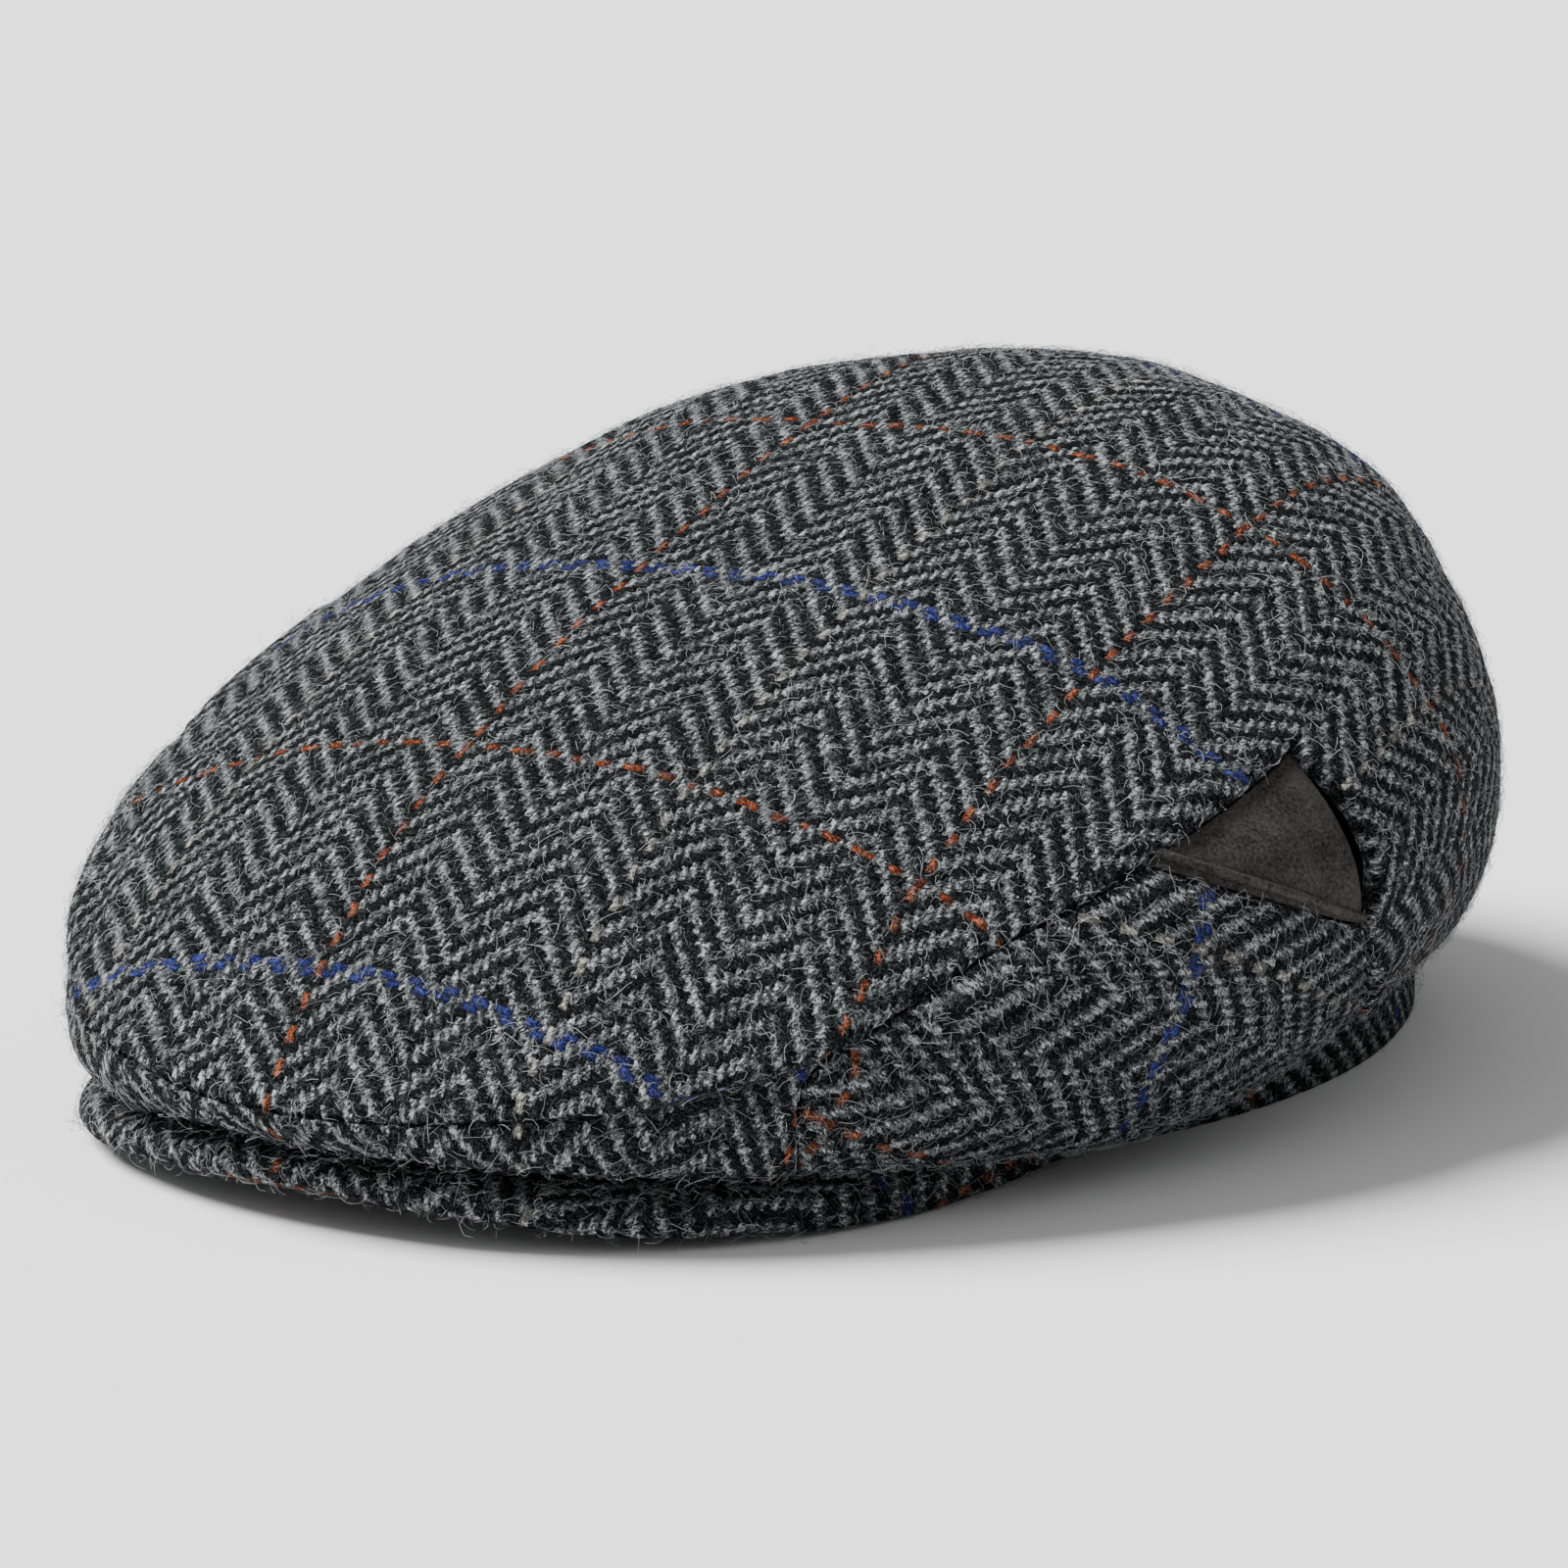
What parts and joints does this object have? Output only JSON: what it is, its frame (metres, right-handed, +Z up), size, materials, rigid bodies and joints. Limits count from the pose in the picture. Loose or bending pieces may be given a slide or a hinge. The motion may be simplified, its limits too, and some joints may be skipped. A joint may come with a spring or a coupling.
{
  "type": "flat cap",
  "caption": "Flat cap in herringbone wool with an orange and blue check, a low rounded crown over a stiff peak and a leather gusset on each side.",
  "frame": {"origin": "middle of the footprint, on the table that the head band and the peak rest on", "axes": "+Z up, the peak points to -Y, and the wearer's left is +X"},
  "size_m": [0.2164, 0.269, 0.1041],
  "materials": {
    "crown_cloth": "hairy herringbone wool with an orange and blue overcheck",
    "side_cloth": "hairy herringbone wool, its columns from front to back",
    "gusset_leather": "matt brown with a fine grain",
    "peak_cloth": "hairy herringbone wool over a board",
    "band_cloth": "hairy herringbone wool"
  },
  "bodies": {
    "root": {"crown_top": "crown_cloth", "side_panel_left": "side_cloth", "side_panel_right": "side_cloth", "gusset_left": "gusset_leather", "gusset_right": "gusset_leather", "peak": "peak_cloth", "band": "band_cloth"}
  },
  "joints": []
}
